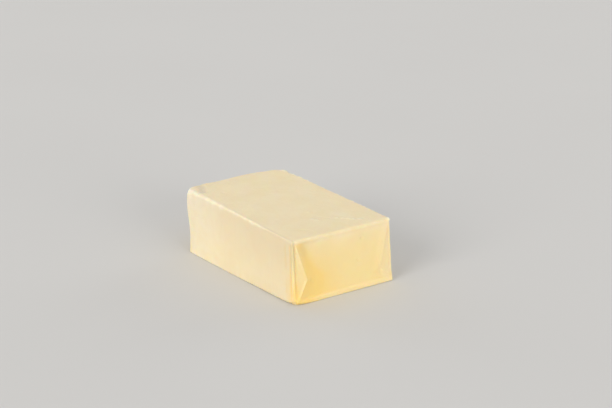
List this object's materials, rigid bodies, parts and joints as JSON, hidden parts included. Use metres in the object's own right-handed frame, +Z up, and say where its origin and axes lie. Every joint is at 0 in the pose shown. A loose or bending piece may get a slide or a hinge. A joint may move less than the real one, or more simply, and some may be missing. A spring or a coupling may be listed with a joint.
{
  "type": "block of butter",
  "caption": "Unwrapped rectangular block of butter with soft edges, bevelled corners and folded-wrapper prints sunk into both ends; rests flat on its foot.",
  "frame": {"origin": "under the middle of the block, on the flat foot that it rests on", "axes": "+Z up; X along the block's length, from the end with the worn corner at -X to the end at +X; Y across it, with the front long side at -Y"},
  "size_m": [0.1074, 0.0682, 0.0396],
  "materials": {
    "butter": "soft satin, slightly greasy"
  },
  "bodies": {
    "root": {"butter_block": "butter"}
  },
  "joints": []
}
